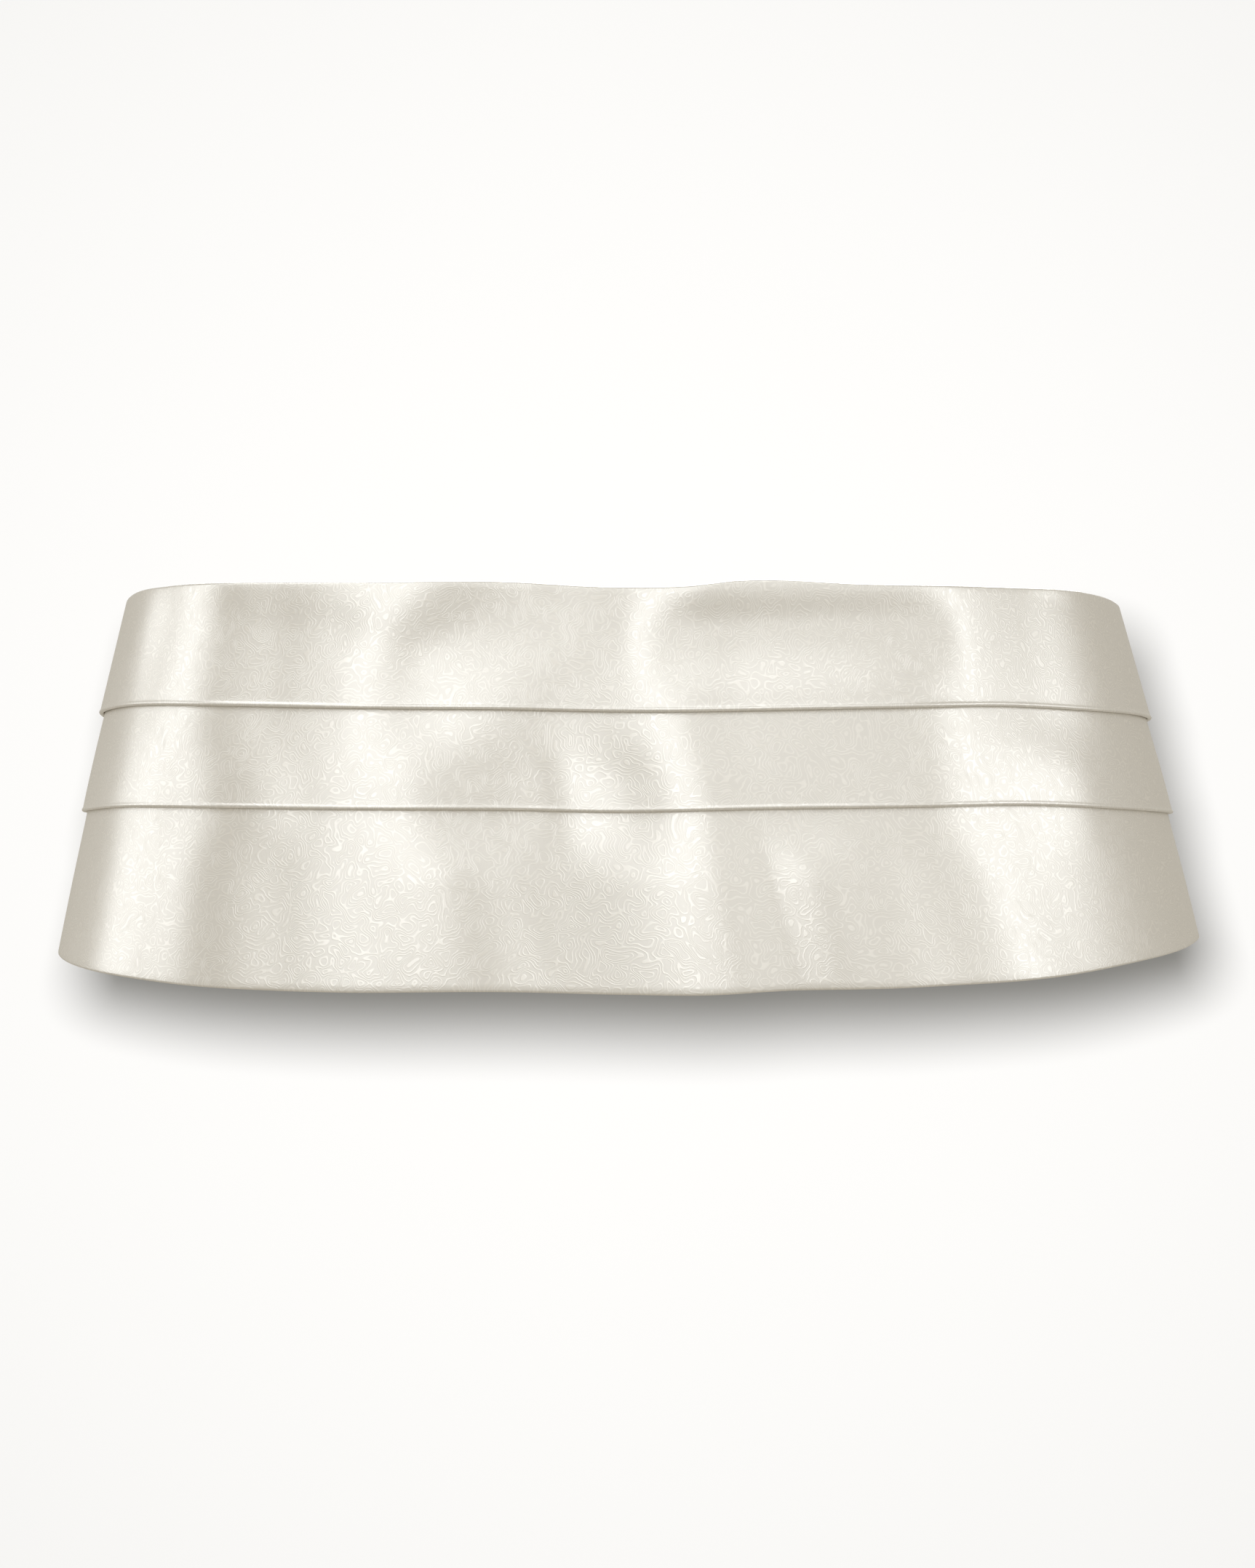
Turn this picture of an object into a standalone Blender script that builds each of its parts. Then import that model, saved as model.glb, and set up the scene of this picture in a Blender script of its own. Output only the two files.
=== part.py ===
"""A pleated satin cummerbund, closed and filled out round a general waist.

Metres, +Z up. The front faces -Y, and the origin is the middle of the hollow, at half the height.
One pleated panel runs from side to side. Two straps, a slider, a hook and a ring close it at the back.
Places round the band are measured as a length from the centre front, more to +X, at half the height.
"""

from collections import namedtuple

import bmesh
import bpy
import numpy as np
from mathutils import Matrix, Vector

MM = 0.001

# The ring that the band is filled out to, taken at the panel's inner face.
HALF_WIDTH = 0.1725
DEPTH_SHARE = 0.69
FLARE = 0.217
LEAN = 0.025

# The panel's cloth. A layer lies one pitch inside the next at the pleats and hems.
WALL = 0.0010
GAP = 0.00035
PITCH = WALL + GAP
TURN = PITCH / 2
EDGE_OUT = 0.5 * WALL
FOLD_OUT = EDGE_OUT + PITCH
UNDERLAP = 0.015
UNDERLAP_SHARE = 0.6
HEM = 0.009
PANEL_STEPS = 48
EMERGE = 1.5

# The straps and the metal pieces at the back.
STRAP_WIDTH = 0.038
STRAP_WALL = 0.0012
STRAP_OUT = -0.0038
STRAP_TUCK = 0.014
SEAT = 0.0003
BAR_THICK = 0.0016
BAR_WIDE = 0.0025
LOOP_TURN = BAR_THICK / 2 + SEAT + STRAP_WALL / 2
METAL_TALL = 0.0455
SLOT_TALL = 0.0402
SLIDER_AT = 0.090
SLIDER_LONG = 0.0215
HOOK_BAR_AT = 0.0185
HOOK_PLATE_END = 0.0055
RING_BAR_AT = -0.0185
RING_GRIP_AT = -0.0055
TONGUE_WIDE = 0.014
TONGUE_WALL = 0.0012
TONGUE_TURN = BAR_THICK / 2 + SEAT + TONGUE_WALL / 2

Edges = namedtuple("Edges", "along top upper_fold lower_fold bottom")
EDGES = (
    Edges(-310, 38.0, 13.5, -9.0, -37.0),
    Edges(-262, 53.5, 20.0, -9.6, -49.0),
    Edges(-217, 59.6, 23.0, -8.2, -55.0),
    Edges(-185, 60.5, 24.0, -7.0, -57.1),
    Edges(-145, 60.2, 23.2, -7.0, -59.4),
    Edges(-100, 59.3, 22.1, -7.4, -60.3),
    Edges(-55, 59.1, 21.6, -7.5, -59.6),
    Edges(-20, 57.4, 20.9, -8.1, -60.4),
    Edges(2, 57.9, 21.0, -7.7, -60.6),
    Edges(16, 59.5, 21.3, -7.4, -59.9),
    Edges(62, 59.3, 22.4, -6.9, -59.4),
    Edges(112, 60.0, 23.5, -6.4, -57.8),
    Edges(150, 60.3, 22.6, -7.7, -54.4),
    Edges(190, 58.8, 21.6, -9.1, -51.2),
    Edges(232, 56.0, 19.8, -10.2, -48.3),
    Edges(272, 49.0, 16.8, -10.6, -43.4),
    Edges(310, 38.0, 12.5, -10.0, -37.0),
)

# Soft ridges, and valleys where the rise is below zero: the place and the rise in each tier.
Fold = namedtuple("Fold", "top middle bottom left right top_rise middle_rise bottom_rise")
FOLDS = (
    Fold(-262, -262, -262, 26, 24, 0.6, 0.8, 0.9),
    Fold(-214, -212, -208, 26, 26, -0.6, -0.8, -1.0),
    Fold(-140, -143, -143, 26, 22, 1.4, 1.3, 1.4),
    Fold(-70, -65, -66, 26, 24, -1.6, -0.6, 1.0),
    Fold(-26, -26, -30, 14, 14, -0.3, -0.9, 0.0),
    Fold(-6, 2, 5, 26, 12, 1.4, 1.5, 2.4),
    Fold(34, 30, 28, 20, 24, -1.0, -0.2, 1.2),
    Fold(76, 72, 74, 26, 36, -0.4, 0.9, 1.4),
    Fold(116, 120, 120, 34, 32, -1.0, 0.0, 0.0),
    Fold(216, 214, 212, 24, 26, 0.7, 0.9, 1.0),
    Fold(266, 266, 266, 24, 26, -0.6, -0.6, -0.8),
)
TIER_MIDDLES = (40, 6, -35)


def arc_table():
    """Angles from the centre front, and the length round the ring at half height up to each."""
    angles = np.linspace(-1.5 * np.pi, 1.5 * np.pi, 12001)
    across = HALF_WIDTH * np.sin(angles)
    back = -HALF_WIDTH * DEPTH_SHARE * np.cos(angles)
    steps = np.hypot(np.diff(across), np.diff(back))
    lengths = np.concatenate([[0.0], np.cumsum(steps)])
    return angles, lengths - np.interp(0.0, angles, lengths)


ARC_ANGLES, ARC_LENGTHS = arc_table()
HALF_GIRTH = float(np.interp(np.pi, ARC_ANGLES, ARC_LENGTHS))


def ring_point(along, height, out):
    """The point at a length round the ring, a height, and a distance out from the panel's inner face."""
    angle = np.interp(along, ARC_LENGTHS, ARC_ANGLES)
    half_width = HALF_WIDTH - FLARE * height
    outward = np.array([np.sin(angle) * DEPTH_SHARE, -np.cos(angle)])
    outward /= np.linalg.norm(outward)
    across = half_width * np.sin(angle) + out * outward[0] - LEAN * height
    back = -half_width * DEPTH_SHARE * np.cos(angle) + out * outward[1]
    return across, back, height


def smooth(share):
    """Eases a share from 0 to 1, flat at both ends."""
    share = min(max(share, 0.0), 1.0)
    return share * share * (3.0 - 2.0 * share)


def edge_at(column, along):
    """The height of one edge or fold line, on a smooth curve through the table's rows."""
    places = np.array([row.along for row in EDGES], float)
    heights = np.array([getattr(row, column) for row in EDGES], float)
    slopes = np.gradient(heights, places)
    place = min(max(along / MM, places[0]), places[-1])
    row = min(int(np.searchsorted(places, place, side="right")) - 1, len(places) - 2)
    span = places[row + 1] - places[row]
    share = (place - places[row]) / span
    ease = smooth(share)
    leave = share * (1 - share) ** 2 * span * slopes[row]
    arrive = share * share * (share - 1) * span * slopes[row + 1]
    return (heights[row] * (1 - ease) + heights[row + 1] * ease + leave + arrive) * MM


def relief(along, height):
    """How far the folds push the whole panel out at a place."""
    total = 0.0
    for fold in FOLDS:
        middles = TIER_MIDDLES[::-1]
        place = np.interp(height / MM, middles, (fold.bottom, fold.middle, fold.top))
        rise = np.interp(height / MM, middles, (fold.bottom_rise, fold.middle_rise, fold.top_rise))
        offset = along / MM - place
        reach = fold.left if offset < 0 else fold.right
        if abs(offset) < reach:
            total += rise * 0.5 * (1 + np.cos(np.pi * offset / reach))
    return total * MM


def half_turn(height, out, direction, steps):
    """Points round a fold, from an outer layer in to the next: -1 turns at the bottom, 1 at the top."""
    turned = np.linspace(0.0, np.pi, steps + 1)
    heights = height + direction * TURN * np.sin(turned)
    return list(zip(heights, out - TURN + TURN * np.cos(turned)))


def cloth_route(along):
    """The cloth's middle line at one place, from hem to hem, as heights and distances out."""
    top, upper, lower, bottom = (edge_at(column, along) for column in Edges._fields[1:])
    ends = TURN + 0.5 * WALL
    upper_lap = min(UNDERLAP, UNDERLAP_SHARE * (top - upper))
    lower_lap = min(UNDERLAP, UNDERLAP_SHARE * (upper - lower))

    def top_tier(height):
        return EDGE_OUT + PITCH * (top - height) / (top - upper)

    def middle_tier(height):
        if height > upper:
            return top_tier(height) - 2 * PITCH
        share = (upper - height) / (upper - lower)
        return FOLD_OUT - 2 * PITCH * (1 - share) ** EMERGE

    def bottom_tier(height):
        if height > lower:
            return middle_tier(height) - 2 * PITCH
        share = (lower - height) / (lower - bottom)
        return EDGE_OUT - PITCH * (1 - share) ** EMERGE

    def straight(tier, start, end, steps, inside=0.0):
        heights = np.linspace(start, end, steps + 1)[1:-1]
        return [(height, tier(height) - inside) for height in heights]

    route = [(top - HEM, top_tier(top - HEM) - PITCH)]
    route += half_turn(top - ends, EDGE_OUT, 1, 4)[::-1]
    route += straight(top_tier, top - ends, upper + ends, 6)
    route += half_turn(upper + ends, top_tier(upper + ends), -1, 4)
    route += straight(top_tier, upper + ends, upper + upper_lap, 3, PITCH)
    route += half_turn(upper + upper_lap, top_tier(upper + upper_lap) - PITCH, 1, 3)
    route += straight(middle_tier, upper + upper_lap, upper, 2)
    route += straight(middle_tier, upper + ends, lower + ends, 6)
    route += half_turn(lower + ends, middle_tier(lower + ends), -1, 4)
    route += straight(middle_tier, lower + ends, lower + lower_lap, 3, PITCH)
    route += half_turn(lower + lower_lap, middle_tier(lower + lower_lap) - PITCH, 1, 3)
    route += straight(bottom_tier, lower + lower_lap, lower, 2)
    route += straight(bottom_tier, lower + ends, bottom + ends, 8)
    route += half_turn(bottom + ends, bottom_tier(bottom + ends), -1, 4)
    route += [(bottom + HEM, bottom_tier(bottom + HEM) - PITCH)]
    return route


def material(name, colour, roughness, metallic=0.0):
    made = bpy.data.materials.new(name)
    made.use_nodes = True
    shader = made.node_tree.nodes["Principled BSDF"]
    shader.inputs["Base Color"].default_value = (*colour, 1.0)
    shader.inputs["Roughness"].default_value = roughness
    shader.inputs["Metallic"].default_value = metallic
    made.diffuse_color = (*colour, 1.0)
    return made


def finish_mesh(name, mesh_data, finish):
    mesh = bpy.data.meshes.new(name)
    mesh_data.to_mesh(mesh)
    mesh_data.free()
    mesh.materials.append(finish)
    made = bpy.data.objects.new(name, mesh)
    bpy.context.scene.collection.objects.link(made)
    return made


def cloth_sheet(name, lines, wall, finish):
    """A wall of cloth through lines of points, each line with the same number of them."""
    mesh_data = bmesh.new()
    across, down = len(lines), len(lines[0])
    bmesh.ops.create_grid(mesh_data, x_segments=across - 1, y_segments=down - 1, size=1.0)
    for point in mesh_data.verts:
        line = round((point.co.x + 1) / 2 * (across - 1))
        step = round((point.co.y + 1) / 2 * (down - 1))
        point.co = lines[line][step]
    sheet = finish_mesh(name, mesh_data, finish)
    sheet.data.shade_smooth()
    thicken = sheet.modifiers.new("wall", "SOLIDIFY")
    thicken.thickness = wall
    thicken.offset = 0.0
    thicken.use_even_offset = True
    return sheet


def front_panel(finish):
    half_length = EDGES[-1].along * MM
    lines = []
    for along in np.linspace(-half_length, half_length, PANEL_STEPS + 1):
        route = [(height, out + relief(along, height)) for height, out in cloth_route(along)]
        lines.append([ring_point(along, height, out) for height, out in route])
    return cloth_sheet("front_panel", lines, WALL, finish)


def back_point(across, height, out):
    """A point by its length from the centre back, more to +X."""
    return ring_point(HALF_GIRTH - across, height, out)


def strap(name, route, finish):
    """A flat strap on edge along a route of lengths from the centre back and distances out."""
    heights = (-STRAP_WIDTH / 2, STRAP_WIDTH / 2)
    lines = [[back_point(across, height, out) for height in heights] for across, out in route]
    return cloth_sheet(name, lines, STRAP_WALL, finish)


def loop_round(bar_at, bar_out, turn, side, steps=6):
    """Half a loop round an upright bar, from its outer side past side * bar_at to its inner side."""
    reach = BAR_WIDE / 2
    turned = np.linspace(0.0, np.pi, steps + 1)
    around = bar_at + side * (reach + turn * np.sin(turned))
    return list(zip(around, bar_out + turn * np.cos(turned)))


def run(start, end, out, steps):
    """Even places along a straight run, without its ends."""
    return [(across, out) for across in np.linspace(start, end, steps + 1)[1:-1]]


def ring_side_strap(finish):
    panel_end = -(HALF_GIRTH - EDGES[-1].along * MM)
    bar_out = STRAP_OUT - LOOP_TURN
    sewn_back = 0.026
    route = [(panel_end - STRAP_TUCK, STRAP_OUT)]
    route += run(panel_end - STRAP_TUCK, RING_BAR_AT, STRAP_OUT, 14)
    route += loop_round(RING_BAR_AT, bar_out, LOOP_TURN, 1)
    route += run(RING_BAR_AT, RING_BAR_AT - sewn_back, STRAP_OUT - 2 * LOOP_TURN, 4)
    route += [(RING_BAR_AT - sewn_back, STRAP_OUT - 2 * LOOP_TURN)]
    return strap("strap_ring_side", route, finish)


def slider_side_strap(finish):
    """From the panel through the slider, round the hook's bar, and back to the slider's middle bar."""
    panel_end = HALF_GIRTH - EDGES[-1].along * MM
    slider_out = STRAP_OUT + LOOP_TURN
    hump = slider_out + LOOP_TURN + STRAP_WALL + SEAT
    inner = STRAP_OUT - 2 * LOOP_TURN
    outer_bar = SLIDER_LONG / 2 - BAR_WIDE / 2
    route = [(panel_end + STRAP_TUCK, STRAP_OUT)]
    route += run(panel_end + STRAP_TUCK, SLIDER_AT + outer_bar, STRAP_OUT, 8)
    weave = (
        (outer_bar + 0.0005, STRAP_OUT),
        (outer_bar - 0.0018, STRAP_OUT + 0.0002),
        (outer_bar - 0.0035, (STRAP_OUT + hump) / 2 - 0.0004),
        (0.0038, hump - 0.0008),
        (0.0018, hump),
    )
    route += [(SLIDER_AT + across, out) for across, out in weave]
    route += [(SLIDER_AT - across, out) for across, out in weave[::-1]]
    route += run(SLIDER_AT - outer_bar, HOOK_BAR_AT, STRAP_OUT, 8)
    route += loop_round(HOOK_BAR_AT, STRAP_OUT - LOOP_TURN, LOOP_TURN, -1)
    route += run(HOOK_BAR_AT, SLIDER_AT, inner, 9)
    climb = (
        (-0.0010, inner + 0.0004),
        (0.0020, inner + 0.0022),
        (BAR_WIDE / 2 + LOOP_TURN, slider_out - 0.0010),
    )
    route += [(SLIDER_AT + across, out) for across, out in climb]
    over = np.linspace(0.0, np.pi, 7)
    turn = BAR_WIDE / 2 + LOOP_TURN
    route += [(SLIDER_AT + turn * np.cos(angle), slider_out + LOOP_TURN * np.sin(angle)) for angle in over]
    return strap("strap_slider_side", route, finish)


def plate(name, ends, tall, thick, finish):
    """A flat block about its own middle plane, by its ends along the band, height and thickness."""
    mesh_data = bmesh.new()
    bmesh.ops.create_cube(mesh_data, size=1.0)
    bmesh.ops.scale(mesh_data, vec=(ends[1] - ends[0], thick, tall), verts=mesh_data.verts)
    bmesh.ops.translate(mesh_data, vec=((ends[0] + ends[1]) / 2, 0.0, 0.0), verts=mesh_data.verts)
    return finish_mesh(name, mesh_data, finish)


def seat_on_back(piece, across, out):
    """Places a piece along the ring at a length from the centre back, leaning as the ring does."""
    step = 0.001
    middle = Vector(back_point(across, 0.0, out))
    up = (Vector(back_point(across, step, 0.0)) - Vector(back_point(across, -step, 0.0))).normalized()
    beside = Vector(back_point(across + step, 0.0, 0.0)) - Vector(back_point(across - step, 0.0, 0.0))
    outward = up.cross(beside).normalized()
    turned = Matrix((outward.cross(up), outward, up)).transposed()
    piece.matrix_world = Matrix.Translation(middle) @ turned.to_4x4()
    return piece


def cut(piece, cutters):
    for number, cutter in enumerate(cutters):
        cutter.hide_render = True
        cutter.display_type = "WIRE"
        cutter.parent = piece
        step = piece.modifiers.new(f"slot_{number}", "BOOLEAN")
        step.operation = "DIFFERENCE"
        step.object = cutter
    return piece


def soften(piece, width):
    bevel = piece.modifiers.new("edges", "BEVEL")
    bevel.width = width
    bevel.segments = 2
    bevel.limit_method = "ANGLE"
    return piece


def slotted(name, ends, windows, finish):
    """A metal plate with softened edges and upright slots for the strap."""
    frame = soften(plate(name, ends, METAL_TALL, BAR_THICK, finish), 0.0004)
    slots = []
    for number, window in enumerate(windows):
        slots.append(plate(f"{name}_slot_{number}", window, SLOT_TALL, 3 * BAR_THICK, finish))
    return cut(frame, slots)


def slider(finish):
    """A flat frame with a middle bar, which the strap's end is sewn round and the strap passes over."""
    half = SLIDER_LONG / 2
    first = (BAR_WIDE / 2, half - BAR_WIDE)
    second = (-first[1], -first[0])
    frame = slotted("slider", (-half, half), (first, second), finish)
    return seat_on_back(frame, SLIDER_AT, STRAP_OUT + LOOP_TURN)


def catch_ring(finish):
    """A plain oblong ring on the strap's loop, which the hook holds."""
    half = (RING_GRIP_AT - RING_BAR_AT + BAR_WIDE) / 2
    window = (BAR_WIDE - half, half - BAR_WIDE)
    frame = slotted("catch_ring", (-half, half), (window,), finish)
    return seat_on_back(frame, (RING_BAR_AT + RING_GRIP_AT) / 2, STRAP_OUT - LOOP_TURN)


def hook(finish):
    """A slotted plate on the strap's loop, whose tongue passes inside the ring's bar and curls back."""
    middle = (HOOK_BAR_AT + HOOK_PLATE_END) / 2
    near = HOOK_PLATE_END - middle
    far = HOOK_BAR_AT + BAR_WIDE / 2 - middle
    out = STRAP_OUT - LOOP_TURN
    frame = slotted("hook", (near, far), ((near + 2 * BAR_WIDE, far - BAR_WIDE),), finish)
    turned = np.linspace(0.0, np.pi, 7)
    curl_at = RING_GRIP_AT - BAR_WIDE / 2
    route = [(HOOK_PLATE_END + 0.0015, out), (HOOK_PLATE_END - 0.0012, out - 0.0001)]
    route += [(HOOK_PLATE_END - 0.0040, out - 0.7 * TONGUE_TURN)]
    route += [(RING_GRIP_AT + BAR_WIDE / 2, out - TONGUE_TURN), (RING_GRIP_AT, out - TONGUE_TURN)]
    curl = curl_at - TONGUE_TURN * np.sin(turned)
    route += list(zip(curl, out - TONGUE_TURN * np.cos(turned)))
    route += [(RING_GRIP_AT + 0.0005, out + TONGUE_TURN)]
    heights = (-TONGUE_WIDE / 2, TONGUE_WIDE / 2)
    lines = [[back_point(across, height, far_out) for height in heights] for across, far_out in route]
    tongue = cloth_sheet("hook_tongue", lines, TONGUE_WALL, finish)
    tongue.hide_render = True
    tongue.display_type = "WIRE"
    join = frame.modifiers.new("tongue", "BOOLEAN")
    join.operation = "UNION"
    join.object = tongue
    return seat_on_back(frame, middle, out)


def main():
    for old in list(bpy.data.objects):
        bpy.data.objects.remove(old)
    satin = material("satin", (0.86, 0.84, 0.78), 0.35)
    strap_satin = material("strap_satin", (0.84, 0.82, 0.76), 0.45)
    metal = material("polished_metal", (0.80, 0.79, 0.77), 0.22, 1.0)
    front_panel(satin)
    ring_side_strap(strap_satin)
    slider_side_strap(strap_satin)
    slider(metal)
    hook(metal)
    catch_ring(metal)


main()
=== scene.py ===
"""A pleated satin cummerbund, filled out round a general waist and closed at the back.

Metres, +Z up. The front faces -Y, and the origin is the middle of the hollow, at half the height.
Places round the band are lengths from the centre front, more to +X, measured at half the height.
"""

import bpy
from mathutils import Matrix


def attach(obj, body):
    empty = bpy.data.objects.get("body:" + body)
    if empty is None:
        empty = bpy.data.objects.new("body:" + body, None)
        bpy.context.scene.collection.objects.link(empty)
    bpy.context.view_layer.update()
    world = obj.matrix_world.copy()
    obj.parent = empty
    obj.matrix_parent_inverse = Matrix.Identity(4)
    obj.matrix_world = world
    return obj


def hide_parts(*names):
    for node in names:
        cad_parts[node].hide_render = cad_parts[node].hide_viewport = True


bl_info = {
    "name": "Pleated cummerbund",
    "version": (1, 0, 0),
    "blender": (4, 5, 0),
    "location": "3D View > Sidebar > Cummerbund",
    "description": "Makes the satin, straps, metal and stitches of a cummerbund, and its stage",
    "category": "Add Mesh",
}

from collections import namedtuple
from math import cos, pi, radians, sin

import bmesh
import bpy
import numpy as np
from mathutils import Matrix, Vector

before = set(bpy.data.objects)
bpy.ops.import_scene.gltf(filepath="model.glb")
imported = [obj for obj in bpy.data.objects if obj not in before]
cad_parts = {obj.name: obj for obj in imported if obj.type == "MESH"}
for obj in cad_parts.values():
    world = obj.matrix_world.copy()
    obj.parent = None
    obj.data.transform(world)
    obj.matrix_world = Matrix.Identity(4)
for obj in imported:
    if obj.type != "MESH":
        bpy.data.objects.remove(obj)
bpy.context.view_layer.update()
BODY = "root"
MM = 0.001

# The ring that the band is filled out to, taken at the panel's inner face. For each metre up it gets
# narrower by the flare at each side, and moves to -X by the lean.
HALF_WIDTH = 0.1725
DEPTH_SHARE = 0.69
FLARE = 0.217
LEAN = 0.025
ARC_STEPS = 12000

# The satin. Its middle line lies this far out at each edge, and one pitch further in for each layer.
SATIN_WALL = 0.0006
PITCH = 0.0008
TURN = PITCH / 2
TOP_OUT = 0.0006
FOLD_OUT = 0.0022
MIDDLE_OUT = 0.0017
BOTTOM_OUT = 0.0006
UNDERLAP = 0.015
UNDERLAP_SHARE = 0.6
HEM = 0.009

# Below a fold the satin comes forward along a curve of this power, and gives up the creases of the tier
# above for its own over this height. Just above a fold its pressed edge bends out by the lip.
EMERGE = 1.6
LET_OUT = 0.022
LIP = 0.00025
LIP_HIGH = 0.0009

# Steps of the satin's mesh along the band, and on each stretch of its route down it.
PANEL_STEPS = 260
TIER_STEPS = 22
BOTTOM_STEPS = 30
LIP_STEPS = 3
FOLD_STEPS = 8
LAP_STEPS = 4
HEM_STEPS = 6

# The straps and the metal pieces at the back.
STRAP_WIDTH = 0.038
STRAP_WALL = 0.0012
STRAP_EDGE = 0.0003
STRAP_OUT = -0.0038
STRAP_TUCK = 0.014
SEAT = 0.0003
BAR_THICK = 0.0016
BAR_WIDE = 0.0025
LOOP_TURN = BAR_THICK / 2 + SEAT + STRAP_WALL / 2
SLIDER_AT = 0.090
SLIDER_LONG = 0.0215
HOOK_BAR_AT = 0.0185
RING_BAR_AT = -0.0185
SEWN_BACK = 0.026

# Steps of the straps' meshes on each stretch, and lines across them.
RING_RUN_STEPS = 60
SEWN_BACK_STEPS = 14
SLIDER_RUN_STEPS = 30
HOOK_RUN_STEPS = 28
LOOP_STEPS = 10
STRAP_LINES = 9

# The stitches: two rows at each end of the panel, set in from it, and a box on the sewn-back strap,
# between two places measured from the ring's bar. The pitch and the height are shares of a stitch's
# length and thickness.
PANEL_ROW_INSETS = (0.0035, 0.0105)
PANEL_ROW_HALF = 0.016
BOX_START = 0.009
BOX_END = SEWN_BACK - 0.003
BOX_HALF = 0.0155
STITCH_PITCH = 1.3
STITCH_HIGH = 0.8

# The heights of the panel's edges and its two folds, along the band, in millimetres.
Edges = namedtuple("Edges", "along top upper_fold lower_fold bottom")
EDGES = (
    Edges(-310, 38.0, 13.5, -9.0, -37.0),
    Edges(-262, 53.5, 20.0, -9.6, -49.0),
    Edges(-217, 59.6, 23.0, -8.2, -55.0),
    Edges(-185, 60.5, 24.0, -7.0, -57.1),
    Edges(-145, 60.2, 23.2, -7.0, -59.4),
    Edges(-100, 59.3, 22.1, -7.4, -60.3),
    Edges(-55, 59.1, 21.6, -7.5, -59.6),
    Edges(-20, 57.4, 20.9, -8.1, -60.4),
    Edges(2, 57.9, 21.0, -7.7, -60.6),
    Edges(16, 59.5, 21.3, -7.4, -59.9),
    Edges(62, 59.3, 22.4, -6.9, -59.4),
    Edges(112, 60.0, 23.5, -6.4, -57.8),
    Edges(150, 60.3, 22.6, -7.7, -54.4),
    Edges(190, 58.8, 21.6, -9.1, -51.2),
    Edges(232, 56.0, 19.8, -10.2, -48.3),
    Edges(272, 49.0, 16.8, -10.6, -43.4),
    Edges(310, 38.0, 12.5, -10.0, -37.0),
)

# Soft ridges, and valleys where the rise is below zero. Each runs between two places, given along the
# band and up it, eases to its left and right, and dies away past its ends. All sizes are in millimetres.
Crease = namedtuple("Crease", "along_1 up_1 along_2 up_2 left right past rise")
TOP_CREASES = (
    Crease(-262, 60, -262, 20, 26, 24, 10, 0.6),
    Crease(-214, 60, -212, 20, 26, 26, 10, -0.6),
    Crease(-156, 60, -152, 20, 34, 28, 10, 2.0),
    Crease(-176, 49, -112, 43, 32, 16, 26, -1.2),
    Crease(-46, 56, -80, 35, 24, 32, 28, -2.8),
    Crease(4, 62, -4, 20, 34, 20, 10, 1.5),
    Crease(6, 44, 73, 46, 27, 16, 26, -2.4),
    Crease(126, 60, 118, 20, 50, 38, 10, -3.0),
    Crease(216, 60, 214, 20, 24, 26, 10, 0.7),
    Crease(266, 60, 266, 20, 24, 26, 10, -0.6),
)
MIDDLE_CREASES = (
    Crease(-262, 25, -262, -12, 26, 24, 10, 0.8),
    Crease(-212, 25, -212, -12, 26, 26, 10, -0.8),
    Crease(-146, 25, -136, -12, 26, 26, 10, 1.5),
    Crease(-62, 25, -54, -12, 30, 22, 10, -1.6),
    Crease(-29, 14, -24, -12, 18, 20, 16, -0.8),
    Crease(-4, 25, 4, -12, 24, 16, 10, 1.3),
    Crease(110, 25, 104, -12, 34, 34, 10, -1.8),
    Crease(214, 25, 214, -12, 24, 26, 10, 0.9),
    Crease(266, 25, 266, -12, 24, 26, 10, -0.6),
)
BOTTOM_CREASES = (
    Crease(-262, -5, -262, -62, 26, 24, 10, 0.9),
    Crease(-210, -5, -206, -62, 26, 26, 10, -1.0),
    Crease(-146, -5, -138, -62, 26, 26, 10, 1.5),
    Crease(-76, -5, -60, -62, 28, 22, 10, 1.1),
    Crease(2, -14, 10, -62, 46, 18, 12, 2.4),
    Crease(36, -14, 45, -62, 22, 34, 14, 2.5),
    Crease(108, -5, 124, -62, 30, 50, 10, -1.3),
    Crease(214, -5, 210, -62, 24, 26, 10, 1.0),
    Crease(266, -5, 266, -62, 24, 26, 10, -0.8),
)
TIER_CREASES = (TOP_CREASES, MIDDLE_CREASES, BOTTOM_CREASES)
LINES = Edges._fields[1:]

Stitch = namedtuple("Stitch", "long thick")

# The satin's squiggles follow this many level lines of a noise, and the straps' ribs lie this far apart.
SQUIGGLE_LINES = 9.0
RIB_PITCH = 0.0011

# The camera, level with the band's middle, turned this many degrees round from the front and moved a
# little to its side. Its lens is given in the photo's pixels.
CAMERA_AZIMUTH = -8.5
CAMERA_DISTANCE = 1.10
CAMERA_SIDE = -0.0014
PHOTO_HIGH = 2156
FOCAL_PIXELS = 4660
SENSOR = 36.0

# Softboxes, placed by angles from the camera's line in degrees, to the right and up. Their distances
# and sizes are in metres.
Light = namedtuple("Light", "name azimuth elevation distance wide tall power")
LIGHTS = (
    Light("left", -97, 12, 1.5, 0.65, 1.0, 2.9),
    Light("left_front", -33, 18, 1.5, 0.6, 0.6, 2.0),
    Light("left_high", -52, 46, 1.5, 1.3, 0.5, 3.9),
    Light("front", 10, 18, 1.5, 0.4, 0.6, 1.75),
    Light("right_front", 42, 14, 1.5, 0.7, 0.5, 0.75),
    Light("right_high", 28, 44, 1.5, 1.3, 0.5, 3.1),
    Light("right", 77, 12, 1.5, 0.45, 1.0, 2.65),
    Light("back_left", -172, 36, 1.5, 0.5, 0.6, 5.0),
    Light("back_right", 164, 36, 1.5, 0.5, 0.6, 5.0),
    Light("back_high", 180, 62, 1.5, 1.2, 0.5, 4.0),
)
SOFTBOX_COLOUR = (0.91, 0.95, 1.0)
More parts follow.
